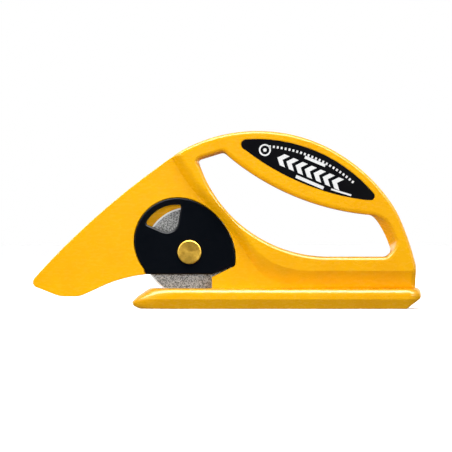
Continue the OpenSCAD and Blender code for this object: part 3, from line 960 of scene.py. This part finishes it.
def blade_steel():
    """Ground blade steel: speckled grey face with fine turning rings, and a painted highlight along
    the ground bevel.
    """
    n = Nodes("blade_steel")
    speck = n.noise(1500.0, 4.0, 0.75)
    rings = n.turned(5200.0)
    face = n.mix(n.ramp(speck, 0.43, 0.57, 0.0, 1.0), linear(88, 88, 87), linear(204, 204, 202))
    ground = BLADE_R - BEVEL
    # painted highlight: the narrow ground bevel band is coloured near-white in place of the light it
    # reflects
    bevel = n.ramp(n.reach(), (ground - 0.05) * MM, (ground + 0.05) * MM, 0.0, 1.0)
    colour = n.mix(bevel, face, linear(250, 250, 249))
    rough = n.ramp(rings, 0.3, 0.7, 0.38, 0.55)
    n.set(Metallic=0.3)
    return n.finish(colour, rough, n.bump(rings, 0.000004, 0.5, n.bump(speck, 0.000006, 0.5)))


def bright_steel(name, tint):
    """Plated steel with small scratches."""
    n = Nodes(name)
    scratch = n.noise(500.0, 6.0, 0.7, (1.0, 8.0, 1.0))
    cloud = n.noise(90.0, 3.0)
    colour = n.mix(n.ramp(cloud, 0.3, 0.7, 0.0, 1.0), tint, linear(196, 196, 198))
    n.set(Metallic=1.0)
    return n.finish(colour, n.ramp(scratch, 0.3, 0.75, 0.22, 0.42), n.bump(scratch, 0.000008, 0.4))


def brass():
    """Turned brass: lathe rings that streak the light, with slight tarnish."""
    n = Nodes("turned_brass")
    rings = n.turned(2600.0)
    tarnish = n.noise(380.0, 4.0, 0.65)
    colour = n.mix(n.ramp(tarnish, 0.32, 0.7, 0.0, 1.0), linear(246, 202, 82), linear(198, 150, 50))
    n.set(Metallic=0.75, Anisotropic=0.7)
    around = n.make("ShaderNodeTangent", direction_type="RADIAL", axis="Y")
    n.join(around.outputs["Tangent"], n.shader.inputs["Tangent"])
    return n.finish(colour, n.ramp(rings, 0.3, 0.7, 0.34, 0.5), n.bump(rings, 0.00003, 0.6))


def label_film():
    """Dark printed film with a faint pebble."""
    n = Nodes("label_film_dark")
    pebble = n.noise(1400.0, 3.0)
    cloud = n.noise(70.0, 3.0)
    colour = n.mix(n.ramp(cloud, 0.3, 0.7, 0.0, 1.0), linear(4, 4, 8), linear(9, 9, 12))
    n.set(IOR=1.45, Specular_IOR_Level=0.12)
    return n.finish(colour, n.ramp(pebble, 0.3, 0.7, 0.38, 0.5), n.bump(pebble, 0.00002, 0.3))


def label_ink():
    """White screen print, thin enough in places to let the dark film through."""
    n = Nodes("label_ink_white")
    thin = n.noise(1800.0, 4.0, 0.7)
    colour = n.mix(n.ramp(thin, 0.3, 0.75, 0.0, 1.0), linear(208, 208, 208), linear(242, 242, 242))
    n.set(Specular_IOR_Level=0.25)
    return n.finish(colour, n.ramp(thin, 0.3, 0.7, 0.5, 0.65), n.bump(thin, 0.00001, 0.4))


def paper_floor():
    n = Nodes("pale_floor")
    fibre = n.noise(300.0, 4.0)
    colour = n.mix(fibre, linear(246, 246, 247), linear(251, 251, 251))
    n.set(Roughness=1.0, Specular_IOR_Level=0.0)
    return n.finish(colour)


# ---- assembly ------------------------------------------------------------------------

def place(obj, material, slot, body, *nodes):
    """Gives a piece its material, and puts it on its body for the CAD nodes; slot is not used."""
    obj.data.materials.clear()
    obj.data.materials.append(material)
    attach(obj, body)
    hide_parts(*nodes)
    return obj


def build():
    yellow = yellow_plastic()
    cover_black = black_plastic("cover_black", linear(0, 3, 9))
    knob_black = black_plastic("knob_black", linear(14, 14, 16))
    brassy = brass()
    plated = bright_steel("screw_zinc", linear(170, 172, 176))
    spring = bright_steel("washer_bright", linear(186, 187, 190))
    place(front_shell(), yellow, "body_plastic", "root", "front_shell")
    place(back_shell(), yellow, "body_plastic", "root", "back_shell")
    place(screw_set("screws_long", LONG_PLACES, LONG_SEAT, "long_screws"),
          plated, "screw_steel", "root", "long_screws")
    place(screw_set("screws_short", SHORT_PLACES, SHORT_SEAT, "short_screws"),
          plated, "screw_steel", "root", "short_screws")
    place(label(), label_film(), "label_film", "root", "label")
    place(label_print(), label_ink(), "label_ink", "root", "label_print")
    place(blade_cover(), cover_black, "cover_plastic", "cover", "blade_cover")
    place(pivot_pin(), brassy, "pin_brass", "cover", "pivot_pin")
    place(blade(), blade_steel(), "blade_steel", "blade", "blade")
    place(flat_washer(), spring, "washer_steel", "washers", "flat_washer")
    place(wave_washer(), spring, "washer_steel", "washers", "wave_washer")
    place(knob(), knob_black, "knob_plastic", "knob", "knob")
    place(knob_insert(), brassy, "pin_brass", "knob", "knob_insert")


# ---- stage, light, camera ------------------------------------------------------------

def stage():
    """A plain pale floor just under the sole; it takes shadows but throws no light back."""
    bm = bmesh.new()
    bmesh.ops.create_circle(bm, cap_ends=True, segments=96, radius=6000.0)
    bmesh.ops.translate(bm, vec=(0, 0, -0.02), verts=bm.verts)
    floor = new_object("floor", bm)
    floor.data.materials.append(paper_floor())
    floor.visible_diffuse = False
    floor.visible_glossy = False
    floor.visible_shadow = False
    return floor


def aim(obj, target):
    obj.rotation_euler = (Vector(target) - obj.location).to_track_quat("-Z", "Y").to_euler()


def add_lamp(name, data, place, target):
    lamp = bpy.data.objects.new(name, data)
    lamp.location = place
    aim(lamp, target)
    bpy.context.scene.collection.objects.link(lamp)
    return lamp


def softbox(name, place, target, size, power):
    """A rectangular soft light; size is (width, height) in metres."""
    data = bpy.data.lights.new(name, "AREA")
    data.shape = "RECTANGLE"
    data.size, data.size_y = size
    data.energy = power
    return add_lamp(name, data, place, target)


def floor_light(floor):
    """An even light from above that falls on the floor alone and keeps it white."""
    data = bpy.data.lights.new("floor_light", "SUN")
    data.energy = 3.4
    data.angle = math.radians(50)
    lamp = add_lamp("floor_light", data, (-0.25, -0.25, 1.0), (0.0, 0.0, 0.0))
    only = bpy.data.collections.new("floor_only")
    only.objects.link(floor)
    lamp.light_linking.receiver_collection = only


def surround():
    """White to the camera; for the object, faint light with a stronger share from below."""
    world = bpy.data.worlds.new("studio")
    world.use_nodes = True
    tree = world.node_tree
    back = tree.nodes["Background"]
    back.inputs["Color"].default_value = (1.0, 1.0, 1.0, 1.0)
    coords = tree.nodes.new("ShaderNodeTexCoord")
    split = tree.nodes.new("ShaderNodeSeparateXYZ")
    tree.links.new(coords.outputs["Generated"], split.inputs[0])
    level = tree.nodes.new("ShaderNodeMapRange")
    for key, value in (("From Min", -0.9), ("From Max", 0.1), ("To Min", 0.16), ("To Max", 0.04)):
        level.inputs[key].default_value = value
    tree.links.new(split.outputs["Z"], level.inputs["Value"])
    rays = tree.nodes.new("ShaderNodeLightPath")
    brighter = tree.nodes.new("ShaderNodeMath")
    brighter.operation = "MAXIMUM"
    tree.links.new(level.outputs["Result"], brighter.inputs[0])
    tree.links.new(rays.outputs["Is Camera Ray"], brighter.inputs[1])
    tree.links.new(brighter.outputs["Value"], back.inputs["Strength"])
    bpy.context.scene.world = world


def lights():
    """Soft light from both sides, front and back, and glossy-only strips for highlights."""
    middle = (0.02, 0.0, 0.045)
    diffuse = [softbox("left", (-0.62, -0.52, 0.07), middle, (0.5, 0.13), 4.5),
               softbox("right", (1.60, -1.10, 0.11), middle, (1.2, 0.24), 18.5),
               softbox("front", (0.02, -1.40, 0.12), middle, (0.3, 0.15), 5.2),
               softbox("top", (0.0, 0.0, 0.80), middle, (1.2, 0.4), 10.0)]
    for lamp in diffuse:
        lamp.visible_glossy = False
    softbox("rear_left", (-1.00, 1.05, 0.55), middle, (1.6, 1.4), 12.0)
    softbox("rear_right", (1.05, 1.05, 0.55), middle, (1.6, 1.4), 12.0)
    gloss = [softbox("strip_top", (-0.05, -0.24, 0.80), middle, (2.6, 0.45), 58.0),
             softbox("panel_left", (-1.20, -0.70, 0.30), middle, (0.8, 0.8), 3.5),
             softbox("panel_right", (1.20, -0.70, 0.30), middle, (0.8, 0.8), 3.5)]
    for lamp in gloss:
        lamp.visible_diffuse = False


def camera():
    """A long lens level with the tool's middle, square to the cover's side."""
    middle_x, middle_z = 0.01825, 0.0413
    view_w = 0.226
    distance = 1.8
    data = bpy.data.cameras.new("camera")
    data.sensor_width = 36.0
    data.lens = data.sensor_width * distance / view_w
    data.clip_start = 0.05
    data.clip_end = 20.0
    eye = bpy.data.objects.new("camera", data)
    eye.location = (middle_x, -distance, middle_z)
    aim(eye, (middle_x, 0.0, middle_z))
    bpy.context.scene.collection.objects.link(eye)
    bpy.context.scene.camera = eye


def colour_management():
    view = bpy.context.scene.view_settings
    view.view_transform = "Standard"
    view.look = "None"


camera()
build()
floor_light(stage())
surround()
lights()
colour_management()
